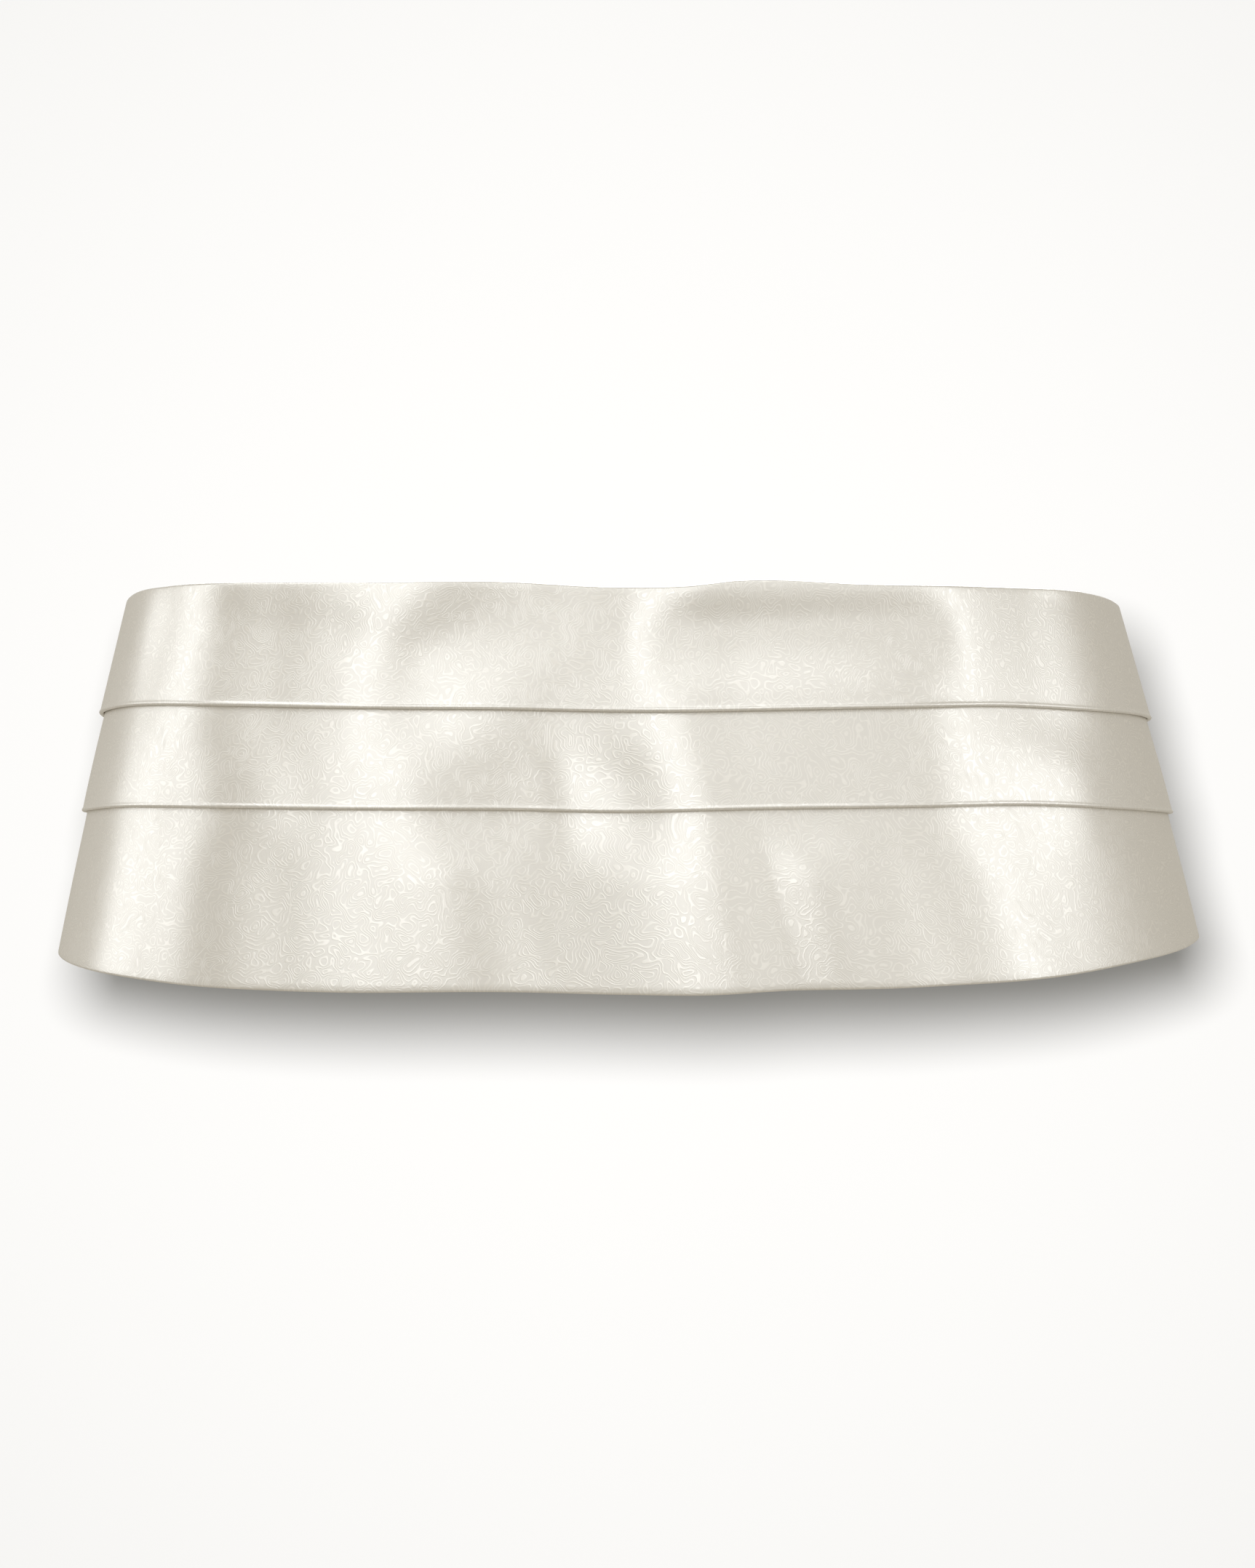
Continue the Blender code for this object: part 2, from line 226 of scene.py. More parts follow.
SURROUNDINGS = (0.45, 0.417, 0.354)
SURROUNDINGS_SEEN = (0.97, 0.97, 0.97)

# The floor and the upright backdrop, and the lamp of each. The stage lamp stands left of the camera and
# above it, and lights the backdrop.
FLOOR_UP = -0.60
FLOOR_HALF = 4.0
WALL_BEHIND = 1.30
WALL_HALF = 0.9
PAPER_ROUGHNESS = 0.9
FLOOR_LAMP_POWER = 2.6
FLOOR_LAMP_SPREAD = 60
STAGE_LAMP_LEFT = 0.0104
STAGE_LAMP_UP = 0.0213
STAGE_LAMP_RADIUS = 0.0226
STAGE_LAMP_CONE = 66
STAGE_LAMP_BLEND = 0.3
STAGE_LAMP_POWER = 312.0
STAGE_LAMP_COLOUR = (1.0, 0.945, 0.865)

# A Mix node keeps its two colours and their mix at these sockets.
MIX_FIRST = 6
MIX_SECOND = 7
MIX_RESULT = 2


class CummerbundSizes(bpy.types.PropertyGroup):
    """Sizes that a user would change."""

    panel_steps: bpy.props.IntProperty(
        name="Panel steps",
        description="Sections along the satin panel",
        default=PANEL_STEPS,
        min=40,
        max=400,
    )
    stitch_long: bpy.props.FloatProperty(
        name="Stitch length", description="Length of one stitch", default=0.0024, unit="LENGTH"
    )
    stitch_thick: bpy.props.FloatProperty(
        name="Thread thickness", description="Thickness of the thread", default=0.0005, unit="LENGTH"
    )
    squiggle_size: bpy.props.FloatProperty(
        name="Squiggle size",
        description="Width across one curl of the satin's texture, in mm",
        default=4.2,
    )


class CummerbundColours(bpy.types.PropertyGroup):
    """Colours that a user would change."""

    satin: bpy.props.FloatVectorProperty(
        name="Satin", description="Colour of the satin", subtype="COLOR", default=(0.90, 0.878, 0.832)
    )
    strap: bpy.props.FloatVectorProperty(
        name="Strap", description="Colour of the straps", subtype="COLOR", default=(0.74, 0.715, 0.65)
    )
    thread: bpy.props.FloatVectorProperty(
        name="Thread", description="Colour of the stitches", subtype="COLOR", default=(0.80, 0.77, 0.69)
    )
    metal: bpy.props.FloatVectorProperty(
        name="Metal", description="Colour of the metal", subtype="COLOR", default=(0.80, 0.79, 0.77)
    )
    backdrop: bpy.props.FloatVectorProperty(
        name="Backdrop",
        description="Colour of the backdrop",
        subtype="COLOR",
        default=(0.56, 0.59, 0.645),
    )
    floor: bpy.props.FloatVectorProperty(
        name="Floor",
        description="Colour of the floor",
        subtype="COLOR",
        default=(0.85, 0.88, 0.92),
    )


class Value:
    """A shader socket that takes Python's arithmetic, each step as one Math node."""

    def __init__(self, graph, socket):
        self.graph = graph
        self.socket = socket

    def step(self, operation, first, second=None):
        return self.graph.add("ShaderNodeMath", {"operation": operation}, {0: first, 1: second})

    def __add__(self, other):
        return self.step("ADD", self, other)

    def __radd__(self, other):
        return self.step("ADD", other, self)

    def __sub__(self, other):
        return self.step("SUBTRACT", self, other)

    def __rsub__(self, other):
        return self.step("SUBTRACT", other, self)

    def __mul__(self, other):
        return self.step("MULTIPLY", self, other)

    def __rmul__(self, other):
        return self.step("MULTIPLY", other, self)

    def sine(self):
        return self.step("SINE", self)

    def smooth_between(self, low, high):
        """0 below low, 1 above high, eased between."""
        return self.graph.add(
            "ShaderNodeMapRange",
            {"interpolation_type": "SMOOTHSTEP"},
            {"Value": self, "From Min": low, "From Max": high},
        )


class Finish:
    """A material and its graph. One method adds any node, and the others are its common uses."""

    def __init__(self, name, **constants):
        self.material = bpy.data.materials.new(name)
        self.material.use_nodes = True
        self.nodes = self.material.node_tree.nodes
        self.links = self.material.node_tree.links
        self.shader = self.nodes["Principled BSDF"]
        for socket, value in constants.items():
            self.shader.inputs[socket.replace("_", " ")].default_value = value

    def add(self, kind, settings, sockets, output=0):
        """Adds a node by its type, its settings and the values or links of its sockets."""
        node = self.nodes.new(kind)
        for name, value in settings.items():
            setattr(node, name, value)
        for name, value in sockets.items():
            if value is not None:
                self.feed(node.inputs[name], value)
        return Value(self, node.outputs[output])

    def feed(self, socket, value):
        if isinstance(value, Value):
            self.links.new(value.socket, socket)
        else:
            socket.default_value = value

    def set(self, socket, value):
        self.feed(self.shader.inputs[socket], value)

    def cloth(self):
        """The cloth's own lengths along and down it, in metres."""
        return self.add("ShaderNodeUVMap", {"uv_map": "cloth"}, {})

    def cloth_in_mm(self):
        """The same in millimetres."""
        return self.add("ShaderNodeVectorMath", {"operation": "SCALE"}, {0: self.cloth(), "Scale": 1 / MM})

    def place(self):
        """The place in the piece, in metres."""
        return self.add("ShaderNodeTexCoord", {}, {}, "Object")

    def noise(self, vector, scale, detail=2.0, distortion=0.0):
        sockets = {"Vector": vector, "Scale": scale, "Detail": detail, "Distortion": distortion}
        return self.add("ShaderNodeTexNoise", {"noise_dimensions": "3D"}, sockets)

    def tint(self, share, first, second):
        """The first colour where the share is 0, the second where it is 1."""
        sockets = {"Factor": share, MIX_FIRST: (*first, 1.0), MIX_SECOND: (*second, 1.0)}
        return self.add("ShaderNodeMix", {"data_type": "RGBA"}, sockets, MIX_RESULT)

    def bump(self, height, distance, strength):
        sockets = {"Height": height, "Distance": distance, "Strength": strength}
        self.set("Normal", self.add("ShaderNodeBump", {}, sockets))


def shade(colour, share):
    """A colour made darker, or lighter where the share is over 1."""
    return tuple(min(part * share, 1.0) for part in colour)


def satin_finish(colour, curl):
    """Satin with a close maze of fine shiny squiggles, a curl wide in mm, painted lighter as sheen, and a
    slow change of tone.
    """
    finish = Finish("satin", Metallic=0.6, Specular_IOR_Level=0.5)
    millimetres = finish.cloth_in_mm()
    wander = finish.noise(millimetres, 1.0 / curl, detail=0.0, distortion=0.3)
    squiggle = (wander * (2 * pi * SQUIGGLE_LINES)).sine()
    # The squiggles stand out a little less in some patches.
    patches = finish.noise(millimetres, 0.12, detail=1.0).smooth_between(0.3, 0.65) * 0.25 + 0.75
    raised_and_sheen = squiggle.smooth_between(0.15, 0.95) * patches
    tone = finish.noise(millimetres, 0.02, detail=2.0)
    # The squiggles' lighter colour is painted sheen; the slow tone is the satin's own.
    painted_light_and_tone = raised_and_sheen * 0.8 + tone * 0.2
    finish.set("Base Color", finish.tint(painted_light_and_tone, shade(colour, 0.945), shade(colour, 1.065)))
    finish.set("Roughness", 0.365 - raised_and_sheen * 0.05)
    finish.bump(raised_and_sheen, 0.00002, 0.8)
    return finish.material


def strap_finish(colour):
    """Closely woven satin webbing with fine ribs across it, their tops painted lighter and grooves darker
    as light and shade.
    """
    finish = Finish("strap_satin", Specular_IOR_Level=0.5, Sheen_Weight=0.1)
    along = finish.add("ShaderNodeSeparateXYZ", {}, {0: finish.cloth()}, "X")
    ribs = (along * (2 * pi / RIB_PITCH)).sine() * 0.5 + 0.5
    tone = finish.noise(finish.cloth_in_mm(), 0.15, detail=3.0)
    painted_light_and_tone = ribs * 0.6 + tone * 0.4
    # The ribs' tops carry painted light and the grooves between them painted shade; the slow tone is the
    # strap's own.
    finish.set("Base Color", finish.tint(painted_light_and_tone, shade(colour, 0.88), shade(colour, 1.07)))
    finish.set("Roughness", 0.46 - ribs * 0.1)
    finish.bump(ribs, 0.00015, 0.9)
    return finish.material


def metal_finish(colour):
    """Polished plated metal with fine handling marks."""
    finish = Finish("polished_metal", Metallic=1.0)
    place = finish.place()
    marks = finish.noise(place, 900.0, detail=4.0)
    cloud = finish.noise(place, 60.0, detail=2.0)
    finish.set("Base Color", finish.tint(cloud, shade(colour, 0.93), shade(colour, 1.04)))
    finish.set("Roughness", 0.14 + marks * 0.1)
    finish.bump(marks, 0.00002, 0.3)
    return finish.material


def thread_finish(colour):
    """Twisted thread with a soft shine."""
    finish = Finish("thread", Specular_IOR_Level=0.4)
    place = finish.place()
    twist = finish.noise(place, 2500.0, detail=1.0)
    finish.set("Base Color", finish.tint(twist, shade(colour, 0.86), shade(colour, 1.0)))
    finish.set("Roughness", 0.55 + twist * 0.1)
    finish.bump(twist, 0.00005, 0.6)
    return finish.material


def paper_finish(name, colour):
    """Smooth matt paper, almost even."""
    finish = Finish(name, Specular_IOR_Level=0.1, Roughness=PAPER_ROUGHNESS)
    finish.set("Base Color", finish.tint(finish.noise(finish.place(), 3.0), shade(colour, 0.995), colour))
    return finish.material


def arc_table():
    """Angles from the centre front, and the length round the ring at half height up to each."""
    angles = np.linspace(-1.5 * pi, 1.5 * pi, ARC_STEPS + 1)
    across = HALF_WIDTH * np.sin(angles)
    back = -HALF_WIDTH * DEPTH_SHARE * np.cos(angles)
    lengths = np.concatenate([[0.0], np.cumsum(np.hypot(np.diff(across), np.diff(back)))])
    return angles, lengths - np.interp(0.0, angles, lengths)


ARC_ANGLES, ARC_LENGTHS = arc_table()
HALF_GIRTH = float(np.interp(pi, ARC_ANGLES, ARC_LENGTHS))
HALF_PANEL = EDGES[-1].along * MM


def ring_points(along, height, out):
    """Points at lengths round the ring, heights, and distances out from the panel's inner face."""
    along, height, out = np.broadcast_arrays(along, height, out)
    angle = np.interp(along, ARC_LENGTHS, ARC_ANGLES)
    half_width = HALF_WIDTH - FLARE * height
    outward = np.stack([np.sin(angle) * DEPTH_SHARE, -np.cos(angle)])
    outward /= np.hypot(*outward)
    across = half_width * np.sin(angle) + out * outward[0] - LEAN * height
    back = -half_width * DEPTH_SHARE * np.cos(angle) + out * outward[1]
    return np.stack([across, back, height], axis=-1)


def smooth(share):
    """Eases a share from 0 to 1, flat at both ends."""
    share = np.clip(share, 0.0, 1.0)
    return share * share * (3.0 - 2.0 * share)


def eased_off(share):
    """1 at a share of 0, 0 from a share of 1 on, flat at both ends."""
    return 0.5 * (1 + np.cos(pi * np.clip(share, 0.0, 1.0)))


def edge_line(column, along):
    """The height of one edge or fold line, on a smooth curve through the table's rows."""
    places = np.array([row.along for row in EDGES], float)
    heights = np.array([getattr(row, column) for row in EDGES], float)
    slopes = np.gradient(heights, places)
    place = np.clip(np.asarray(along) / MM, places[0], places[-1])
    row = np.minimum(np.searchsorted(places, place, side="right") - 1, len(places) - 2)
    span = places[row + 1] - places[row]
    share = (place - places[row]) / span
    ease = smooth(share)
    leave = share * (1 - share) ** 2 * span * slopes[row]
    arrive = share * share * (share - 1) * span * slopes[row + 1]
    return (heights[row] * (1 - ease) + heights[row + 1] * ease + leave + arrive) * MM


def relief(tier, along, height):
    """How far a tier's creases push the cloth out."""
    total = np.zeros(np.broadcast(along, height).shape)
    for crease in TIER_CREASES[tier]:
        start = np.array([crease.along_1, crease.up_1]) * MM
        course = np.array([crease.along_2, crease.up_2]) * MM - start
        length = np.hypot(*course)
        course = course / length
        ahead = (along - start[0]) * course[0] + (height - start[1]) * course[1]
        beyond = np.maximum(np.maximum(ahead - length, -ahead), 0) / (crease.past * MM)
        across = (height - start[1]) * course[0] - (along - start[0]) * course[1]
        aside = np.abs(across) / (np.where(across < 0, crease.left, crease.right) * MM)
        total += crease.rise * MM * eased_off(aside) * eased_off(beyond)
    return total


def face(tier, along, height):
    """The satin's middle line in a tier, as a distance out.

    Above the tier's top it lies behind the tier above.
    """
    top = edge_line(LINES[tier], along)
    bottom = edge_line(LINES[tier + 1], along)
    share = np.clip((top - height) / (top - bottom), 0.0, 1.0)
    own = relief(tier, along, height)
    if tier == 0:
        return TOP_OUT + (FOLD_OUT - TOP_OUT) * share + own
    start, end = ((FOLD_OUT, MIDDLE_OUT), (MIDDLE_OUT, BOTTOM_OUT))[tier - 1]
    start -= 2 * PITCH
    above = relief(tier - 1, along, top)
    let_out = smooth((top - height) / LET_OUT)
    shown = start + (end - start) * (1 - (1 - share) ** EMERGE) + above * (1 - let_out) + own * let_out
    return np.where(height > top, face(tier - 1, along, height) - 2 * PITCH, shown)


def half_turn(height, out, direction, steps):
    """Lines round a fold from an outer layer in to the next.

    A direction of -1 turns at the bottom, and 1 at the top.
    """
    turned = np.linspace(0.0, pi, steps + 1)
    return [(height + direction * TURN * sin(angle), out - TURN + TURN * cos(angle)) for angle in turned]


def straight(tier, along, start, end, steps, inside=0.0):
    """Lines on a tier between two heights, without the ends."""
    shares = np.linspace(0.0, 1.0, steps + 1)[1:-1]
    heights = [start + (end - start) * share for share in shares]
    return [(height, face(tier, along, height) - inside) for height in heights]


def lip(tier, along, end):
    """Lines on the pressed edge just above a fold, where the cloth bends out a little."""
    lines = []
    for share in np.linspace(0.0, 1.0, LIP_STEPS + 1)[:-1]:
        height = end + LIP_HIGH * (1 - share)
        lines.append((height, face(tier, along, height) + LIP * share**2))
    return lines


def pleat(tier, along, start, fold, lap):
    """Lines down a tier to its fold, up behind it to the top of the lap, and down again to the fold."""
    route = straight(tier, along, start, fold + LIP_HIGH, TIER_STEPS)
    route += lip(tier, along, fold)
    route += half_turn(fold, face(tier, along, fold) + LIP, -1, FOLD_STEPS)
    route += straight(tier, along, fold, lap, LAP_STEPS, PITCH)
    route += half_turn(lap, face(tier, along, lap) - PITCH, 1, LAP_STEPS)
    return route + straight(tier + 1, along, lap, fold, LAP_STEPS)


def cloth_route(along):
    """The satin's lines from the top hem to the bottom hem, each as its heights and distances out."""
    top, upper, lower, bottom = (edge_line(column, along) for column in LINES)
    ends = TURN + SATIN_WALL / 2
    upper_lap = upper + np.minimum(UNDERLAP, UNDERLAP_SHARE * (top - upper))
    lower_lap = lower + np.minimum(UNDERLAP, UNDERLAP_SHARE * (upper - lower))
    route = [(top - HEM, face(0, along, top - HEM) - PITCH)]
    route += half_turn(top - ends, face(0, along, top - ends), 1, HEM_STEPS)[::-1]
    route += pleat(0, along, top - ends, upper + ends, upper_lap)
    route += pleat(1, along, upper + ends, lower + ends, lower_lap)
    route += straight(2, along, lower + ends, bottom + ends, BOTTOM_STEPS)
    route += half_turn(bottom + ends, face(2, along, bottom + ends), -1, HEM_STEPS)
    return route + [(bottom + HEM, face(2, along, bottom + HEM) - PITCH)]


def finish_piece(name, shape, finish, slot=None, replaced=()):
    """Makes an object from a bmesh and gives it its finish. With a slot it is tied to the body."""
    mesh = bpy.data.meshes.new(name)
    shape.to_mesh(mesh)
    shape.free()
    mesh.materials.append(finish)
    piece = bpy.data.objects.new(name, mesh)
    bpy.context.scene.collection.objects.link(piece)
    mesh.shade_smooth()
    if slot:
        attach(piece, BODY)
    if replaced:
        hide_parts(*replaced)
    return piece


def cloth_grid(points, cloth_along, cloth_down):
    """A sheet through a grid of points, with the cloth's own lengths along and down it as its UV map."""
    across, down = points.shape[:2]
    shape = bmesh.new()
    bmesh.ops.create_grid(shape, x_segments=across - 1, y_segments=down - 1, size=1.0)
    places = {}
    for point in shape.verts:
        line = round((point.co.x + 1) / 2 * (across - 1))
        step = round((point.co.y + 1) / 2 * (down - 1))
        places[point] = (cloth_along[line], cloth_down[step])
        point.co = points[line, step]
    cloth = shape.loops.layers.uv.new("cloth")
    for side in shape.faces:
        for corner in side.loops:
            corner[cloth].uv = places[corner.vert]
    return shape


def thicken(piece, wall, rounded=0.0):
    """Gives a sheet its wall, half to each side, and rounds its edges where a radius is given."""
    made = piece.modifiers.new("wall", "SOLIDIFY")
    made.thickness = wall
    made.offset = 0.0
    made.use_even_offset = True
    if rounded:
        soft = piece.modifiers.new("rounded_edges", "BEVEL")
        soft.width = rounded
        soft.segments = 2
        soft.limit_method = "ANGLE"
        soft.angle_limit = radians(50)


class CUMMERBUND_OT_panel(bpy.types.Operator):
    """Make the pleated satin panel"""

    bl_idname = "cummerbund.panel"
    bl_label = "Satin panel"

    def execute(self, context):
        sizes = context.scene.cummerbund_sizes
        colours = context.scene.cummerbund_colours
        along = np.linspace(-HALF_PANEL, HALF_PANEL, sizes.panel_steps + 1)
        route = cloth_route(along)
        heights, outs = (np.stack(lines, axis=1) for lines in zip(*route))
        points = ring_points(along[:, None], heights, outs)
        steps = np.linalg.norm(np.diff(points, axis=1), axis=2)
        middle = len(along) // 2
        down = np.concatenate([[0.0], np.cumsum(steps[middle])])
        shape = cloth_grid(points, along, down)
        satin = satin_finish(tuple(colours.satin), sizes.squiggle_size)
        panel = finish_piece("satin_panel", shape, satin, "satin", ["front_panel"])
        thicken(panel, SATIN_WALL)
        cut_length = 2 * HALF_PANEL
        cut_area = float(steps.sum(axis=1).mean()) * cut_length
        return {"FINISHED"}


class CUMMERBUND_OT_straps(bpy.types.Operator):
    """Make the two straps"""

    bl_idname = "cummerbund.straps"
    bl_label = "Straps"

    def execute(self, context):
        webbing = strap_finish(tuple(context.scene.cummerbund_colours.strap))
        for name, node, route in (
            ("ring_side_webbing", "strap_ring_side", ring_side_route()),
            ("slider_side_webbing", "strap_slider_side", slider_side_route()),
        ):
            make_strap(name, node, route, webbing)
        return {"FINISHED"}


def loop_round(bar_at, bar_out, side):
    """Half a loop round an upright bar, from its outer side past it to its inner side."""
    loop = []
    for angle in np.linspace(0.0, pi, LOOP_STEPS + 1):
        reach = BAR_WIDE / 2 + LOOP_TURN * sin(angle)
        loop.append((bar_at + side * reach, bar_out + LOOP_TURN * cos(angle)))
    return loop


def run(start, end, out, steps):
    """Even places along a straight run, without its ends."""
    return [(across, out) for across in np.linspace(start, end, steps + 1)[1:-1]]


def ring_side_route():
    """From the panel round the ring's bar, and back to where it is sewn."""
    panel_end = -(HALF_GIRTH - HALF_PANEL)
    inner = STRAP_OUT - 2 * LOOP_TURN
    route = [(panel_end - STRAP_TUCK, STRAP_OUT)]
    route += run(panel_end - STRAP_TUCK, RING_BAR_AT, STRAP_OUT, RING_RUN_STEPS)
    route += loop_round(RING_BAR_AT, STRAP_OUT - LOOP_TURN, 1)
    route += run(RING_BAR_AT, RING_BAR_AT - SEWN_BACK, inner, SEWN_BACK_STEPS)
    return route + [(RING_BAR_AT - SEWN_BACK, inner)]


def slider_side_route():
    """From the panel through the slider, round the hook's bar, and back to the slider's middle bar."""
    panel_end = HALF_GIRTH - HALF_PANEL
    slider_out = STRAP_OUT + LOOP_TURN
    hump = slider_out + LOOP_TURN + STRAP_WALL + SEAT
    inner = STRAP_OUT - 2 * LOOP_TURN
    outer_bar = SLIDER_LONG / 2 - BAR_WIDE / 2
    turn = BAR_WIDE / 2 + LOOP_TURN
    route = [(panel_end + STRAP_TUCK, STRAP_OUT)]
    route += run(panel_end + STRAP_TUCK, SLIDER_AT + outer_bar, STRAP_OUT, SLIDER_RUN_STEPS)
    # From behind the slider's outer bar up over its middle bar, as lengths from the slider's middle.
    weave = (
        (outer_bar + 0.0005, STRAP_OUT),
        (outer_bar - 0.0018, STRAP_OUT + 0.0002),
        (outer_bar - 0.0035, (STRAP_OUT + hump) / 2 - 0.0004),
        (0.0038, hump - 0.0008),
        (0.0018, hump),
    )
    route += [(SLIDER_AT + across, out) for across, out in weave]
    route += [(SLIDER_AT - across, out) for across, out in weave[::-1]]
    route += run(SLIDER_AT - outer_bar, HOOK_BAR_AT, STRAP_OUT, HOOK_RUN_STEPS)
    route += loop_round(HOOK_BAR_AT, STRAP_OUT - LOOP_TURN, -1)
    route += run(HOOK_BAR_AT, SLIDER_AT, inner, HOOK_RUN_STEPS)
    # From the inner layer up to the slider's middle bar.
    climb = (
        (-0.0010, inner + 0.0004),
        (0.0020, inner + 0.0022),
        (turn, slider_out - 0.0010),
    )
    route += [(SLIDER_AT + across, out) for across, out in climb]
    for angle in np.linspace(0.0, pi, LOOP_STEPS + 1):
        route.append((SLIDER_AT + turn * cos(angle), slider_out + LOOP_TURN * sin(angle)))
    return route


def make_strap(name, node, route, webbing):
    """A strap along a route, given as places from the centre back and distances out."""
    heights = np.linspace(-STRAP_WIDTH / 2, STRAP_WIDTH / 2, STRAP_LINES)
    across, outs = np.array(route).T
    points = ring_points(HALF_GIRTH - across[:, None], heights[None, :], outs[:, None])
    steps = np.linalg.norm(np.diff(points[:, len(heights) // 2], axis=0), axis=1)
    lengths = np.concatenate([[0.0], np.cumsum(steps)])
    shape = cloth_grid(points, lengths, heights)
    strap = finish_piece(name, shape, webbing, "strap_satin", [node])
    thicken(strap, STRAP_WALL, STRAP_EDGE)


def stitch_row(shape, start, end, on_face, size):
    """Adds a row of stitches between two places, given as lengths along and up, on a face."""
    start, end = Vector((*start, 0.0)), Vector((*end, 0.0))
    count = int((end - start).length / (size.long * STITCH_PITCH))
    bulk = Matrix.Diagonal((size.long, size.thick, size.thick * STITCH_HIGH, 1.0))
    for number in range(count):
        place = start.lerp(end, (number + 0.5) / count)
        ahead = place + (end - start).normalized() * size.long / 2
        middle = Vector(on_face(place.x, place.y, 0.0))
        lie = (Vector(on_face(ahead.x, ahead.y, 0.0)) - middle).normalized()
        outward = Vector(on_face(place.x, place.y, 0.001)) - middle
        beside = outward.cross(lie).normalized()
        turned = Matrix((lie, beside, lie.cross(beside))).transposed().to_4x4()
        placed = Matrix.Translation(middle) @ turned @ bulk
        bmesh.ops.create_uvsphere(shape, u_segments=8, v_segments=6, radius=0.5, matrix=placed)


def panel_face(along, height, above):
    """A point on the panel's outer face, or above it."""
    tier = sum(height < edge_line(fold, along) for fold in ("upper_fold", "lower_fold"))
    return ring_points(along, height, face(tier, along, height) + SATIN_WALL / 2 + above)


def strap_face(out, outward):
    """A function for points on one face of the straps, by lengths along the band and up it."""

    def on_face(along, height, above):
        return ring_points(along, height, out + outward * (STRAP_WALL / 2 + above))

    return on_face


class CUMMERBUND_OT_stitches(bpy.types.Operator):
    """Make the stitches that hold the straps to the panel and the loops closed"""

    bl_idname = "cummerbund.stitches"
    bl_label = "Stitches"

    def execute(self, context):
        sizes = context.scene.cummerbund_sizes
        thread = thread_finish(tuple(context.scene.cummerbund_colours.thread))
        size = Stitch(sizes.stitch_long, sizes.stitch_thick)
        outer = bmesh.new()
        inner = bmesh.new()
        for side in (-1, 1):
            for inset in PANEL_ROW_INSETS:
                along = side * (HALF_PANEL - inset)
                row = ((along, -PANEL_ROW_HALF), (along, PANEL_ROW_HALF))
                stitch_row(outer, *row, panel_face, size)
                stitch_row(inner, *row, strap_face(STRAP_OUT, -1), size)
        finish_piece("panel_end_stitches", outer, thread, "satin")
        near = HALF_GIRTH - RING_BAR_AT + BOX_START
        far = HALF_GIRTH - RING_BAR_AT + BOX_END
        corners = ((near, -BOX_HALF), (near, BOX_HALF), (far, BOX_HALF), (far, -BOX_HALF))
        for corner, following in zip(corners, corners[1:] + corners[:1]):
            stitch_row(inner, corner, following, strap_face(STRAP_OUT, 1), size)
            stitch_row(inner, corner, following, strap_face(STRAP_OUT - 2 * LOOP_TURN, -1), size)
        finish_piece("strap_stitches", inner, thread, "strap_satin")
        return {"FINISHED"}


class CUMMERBUND_OT_metal(bpy.types.Operator):
    """Give the slider, the hook and the ring their polished finish"""

    bl_idname = "cummerbund.metal"
    bl_label = "Metal pieces"

    def execute(self, context):
        metal = metal_finish(tuple(context.scene.cummerbund_colours.metal))
        for node in ("slider", "hook", "catch_ring"):
            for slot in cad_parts[node].material_slots:
                slot.material = metal
        return {"FINISHED"}


def camera_turn(size):
    """The turn from the front round to the camera, as a matrix of this size."""
    return Matrix.Rotation(radians(CAMERA_AZIMUTH), size, "Z")


def put_by_camera(thing, left=0.0, up=0.0):
    """Puts the camera or a lamp at the camera's place, or left of it and above it, facing the band."""
    thing.location = camera_turn(3) @ Vector((CAMERA_SIDE - left, -CAMERA_DISTANCE, up))
    thing.rotation_euler = (radians(90), 0.0, radians(CAMERA_AZIMUTH))


def lamp_for(group, name, kind, power):
    """Adds a lamp that lights only what a group lets it."""
    lamp = bpy.data.objects.new(name, bpy.data.lights.new(name, kind))
    lamp.data.energy = power
    lamp.light_linking.receiver_collection = group
    bpy.context.scene.collection.objects.link(lamp)
    return lamp


def softbox(light, group):
    """A softbox aimed at the middle of the band, at angles from the camera's line."""
    turn = radians(CAMERA_AZIMUTH + light.azimuth)
    level = radians(light.elevation)
    lamp = lamp_for(group, light.name, "AREA", light.power)
    lamp.data.shape = "RECTANGLE"
    lamp.data.size = light.wide
    lamp.data.size_y = light.tall
    lamp.data.color = SOFTBOX_COLOUR
    towards = Vector((sin(turn) * cos(level), -cos(turn) * cos(level), sin(level)))
    lamp.location = towards * light.distance
    lamp.rotation_euler = towards.to_track_quat("Z", "Y").to_euler()
    lamp.visible_camera = False


def stage_lamp(group):
    """The lamp beside the camera that throws the band's shadow down and to the right."""
    lamp = lamp_for(group, "stage_lamp", "SPOT", STAGE_LAMP_POWER)
    lamp.data.color = STAGE_LAMP_COLOUR
    lamp.data.spot_size = radians(STAGE_LAMP_CONE)
    lamp.data.spot_blend = STAGE_LAMP_BLEND
    lamp.data.shadow_soft_size = STAGE_LAMP_RADIUS
    put_by_camera(lamp, STAGE_LAMP_LEFT, STAGE_LAMP_UP)


def floor_lamp(group):
    """Wide light from straight above."""
    lamp = lamp_for(group, "floor_light", "SUN", FLOOR_LAMP_POWER)
    lamp.data.angle = radians(FLOOR_LAMP_SPREAD)


def surroundings():
    """Warm, even light from all round, which is itself seen as a pale background."""
    world = bpy.data.worlds.new("studio")
    world.use_nodes = True
    nodes, links = world.node_tree.nodes, world.node_tree.links
    seen = nodes.new("ShaderNodeMix")
    seen.data_type = "RGBA"
    links.new(nodes.new("ShaderNodeLightPath").outputs["Is Camera Ray"], seen.inputs["Factor"])
    seen.inputs[MIX_FIRST].default_value = (*SURROUNDINGS, 1.0)
    seen.inputs[MIX_SECOND].default_value = (*SURROUNDINGS_SEEN, 1.0)
    links.new(seen.outputs[MIX_RESULT], nodes["Background"].inputs["Color"])
    return world


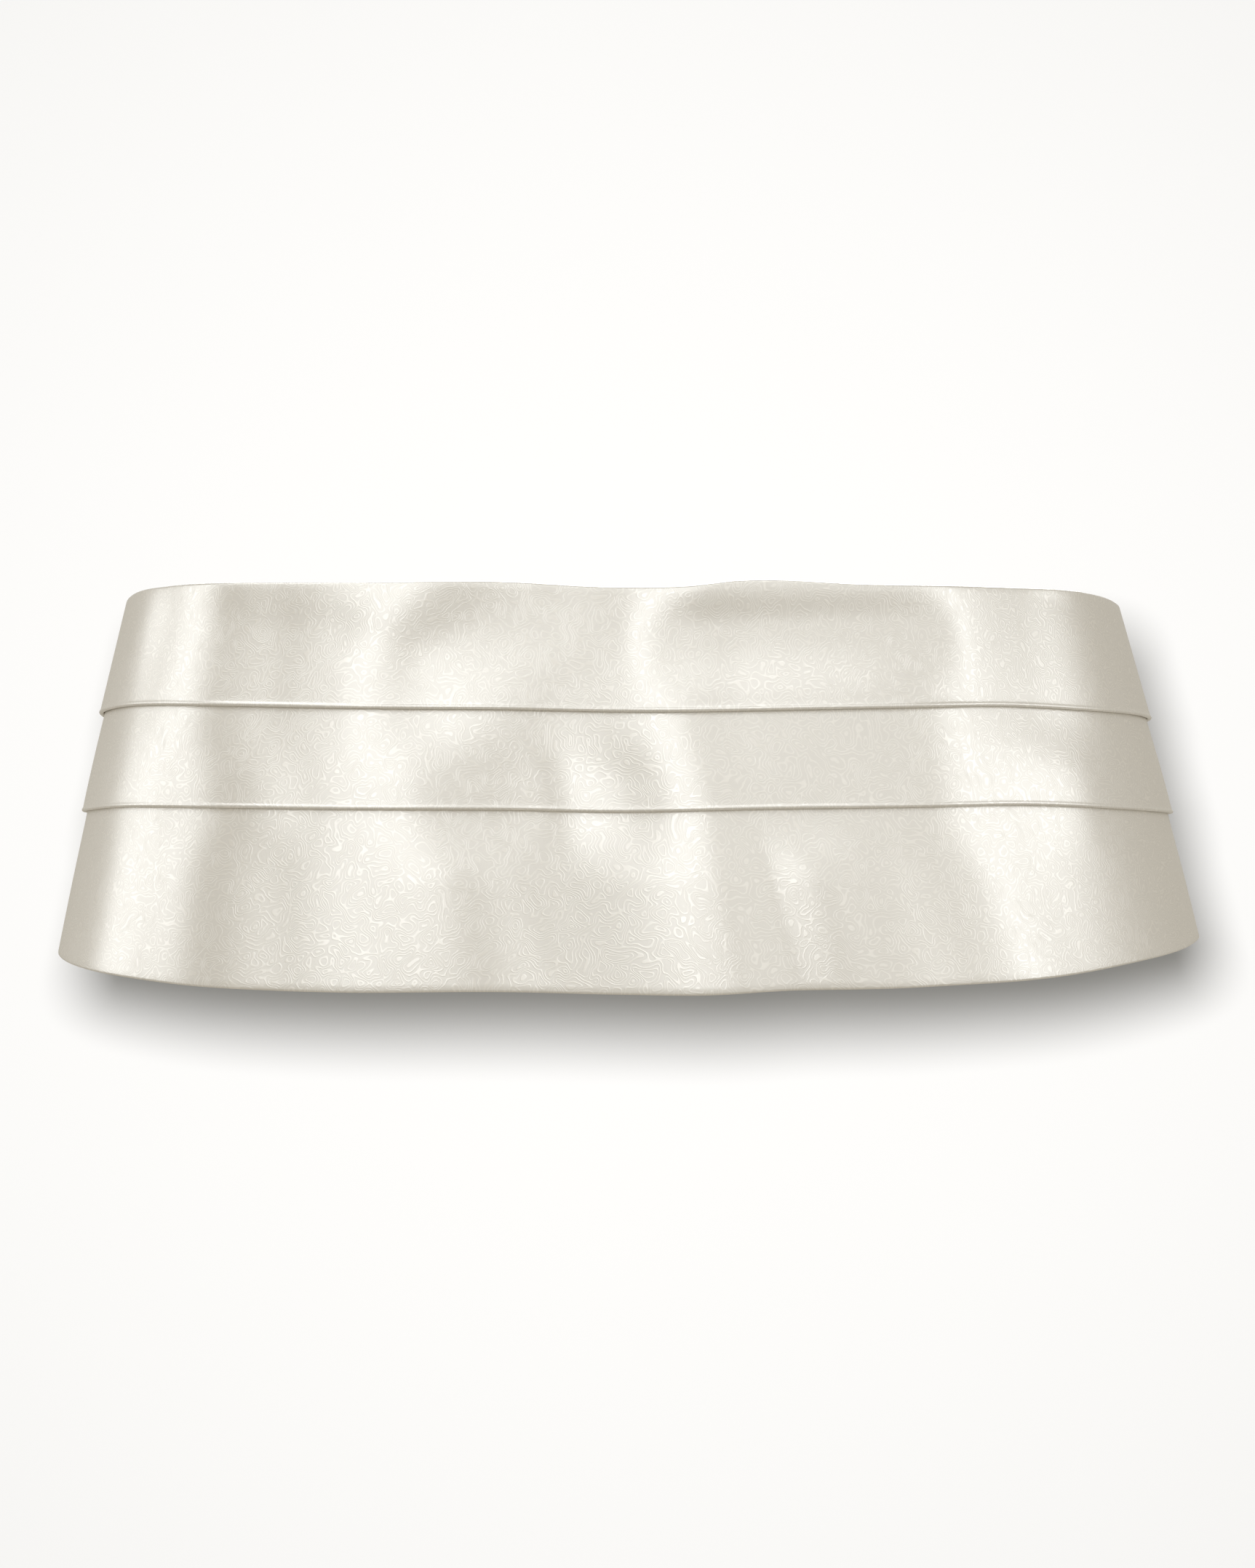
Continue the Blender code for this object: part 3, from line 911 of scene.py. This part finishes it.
def stage_sheet(name, half, finish, placed):
    """A flat square sheet that shows only to the camera and takes no part in the band's light."""
    shape = bmesh.new()
    bmesh.ops.create_grid(shape, x_segments=1, y_segments=1, size=half, matrix=camera_turn(4) @ placed)
    sheet = finish_piece(name, shape, finish)
    sheet.visible_glossy = False
    sheet.visible_diffuse = False
    return sheet


def group_of(name, piece):
    """A collection of one piece, which lamps are linked to."""
    group = bpy.data.collections.new(name)
    group.objects.link(piece)
    return group


def camera():
    """Adds the camera, with the lens that gives the photo's scale."""
    lens = bpy.data.cameras.new("camera")
    lens.sensor_width = SENSOR
    lens.lens = FOCAL_PIXELS / PHOTO_HIGH * SENSOR
    eye = bpy.data.objects.new("camera", lens)
    put_by_camera(eye)
    bpy.context.scene.collection.objects.link(eye)
    return eye


class CUMMERBUND_OT_stage(bpy.types.Operator):
    """Make the floor, the backdrop, the lights and the camera"""

    bl_idname = "cummerbund.stage"
    bl_label = "Stage"

    def execute(self, context):
        scene = context.scene
        colours = scene.cummerbund_colours
        floor_paper = paper_finish("pale_floor", tuple(colours.floor))
        floor = stage_sheet("floor", FLOOR_HALF, floor_paper, Matrix.Translation((0, 0, FLOOR_UP)))
        upright = Matrix.Rotation(radians(90), 4, "X")
        behind = Matrix.Translation((0, WALL_BEHIND, WALL_HALF + FLOOR_UP))
        wall_paper = paper_finish("pale_backdrop", tuple(colours.backdrop))
        backdrop = stage_sheet("backdrop", WALL_HALF, wall_paper, behind @ upright)
        all_but_backdrop = group_of("kept_off_the_backdrop", backdrop)
        for held in all_but_backdrop.collection_objects:
            held.light_linking.link_state = "EXCLUDE"
        for light in LIGHTS:
            softbox(light, all_but_backdrop)
        stage_lamp(group_of("kept_on_the_backdrop", backdrop))
        floor_lamp(group_of("kept_on_the_floor", floor))
        scene.world = surroundings()
        scene.view_settings.view_transform = "Standard"
        scene.camera = camera()
        return {"FINISHED"}


class CUMMERBUND_PT_sidebar(bpy.types.Panel):
    """Lists the sizes, the colours and the steps"""

    bl_label = "Cummerbund"
    bl_space_type = "VIEW_3D"
    bl_region_type = "UI"
    bl_category = "Cummerbund"

    def draw(self, context):
        for group in (context.scene.cummerbund_sizes, context.scene.cummerbund_colours):
            for name in group.__annotations__:
                self.layout.prop(group, name)
        for step in STEPS:
            self.layout.operator(step.bl_idname)


STEPS = (
    CUMMERBUND_OT_panel,
    CUMMERBUND_OT_straps,
    CUMMERBUND_OT_stitches,
    CUMMERBUND_OT_metal,
    CUMMERBUND_OT_stage,
)
CLASSES = (CummerbundSizes, CummerbundColours, *STEPS, CUMMERBUND_PT_sidebar)


def register():
    for made in CLASSES:
        bpy.utils.register_class(made)
    bpy.types.Scene.cummerbund_sizes = bpy.props.PointerProperty(type=CummerbundSizes)
    bpy.types.Scene.cummerbund_colours = bpy.props.PointerProperty(type=CummerbundColours)


def unregister():
    del bpy.types.Scene.cummerbund_sizes
    del bpy.types.Scene.cummerbund_colours
    for made in reversed(CLASSES):
        bpy.utils.unregister_class(made)


def main():
    register()
    bpy.ops.cummerbund.panel()
    bpy.ops.cummerbund.straps()
    bpy.ops.cummerbund.stitches()
    bpy.ops.cummerbund.metal()
    bpy.ops.cummerbund.stage()


if __name__ == "__main__":
    main()
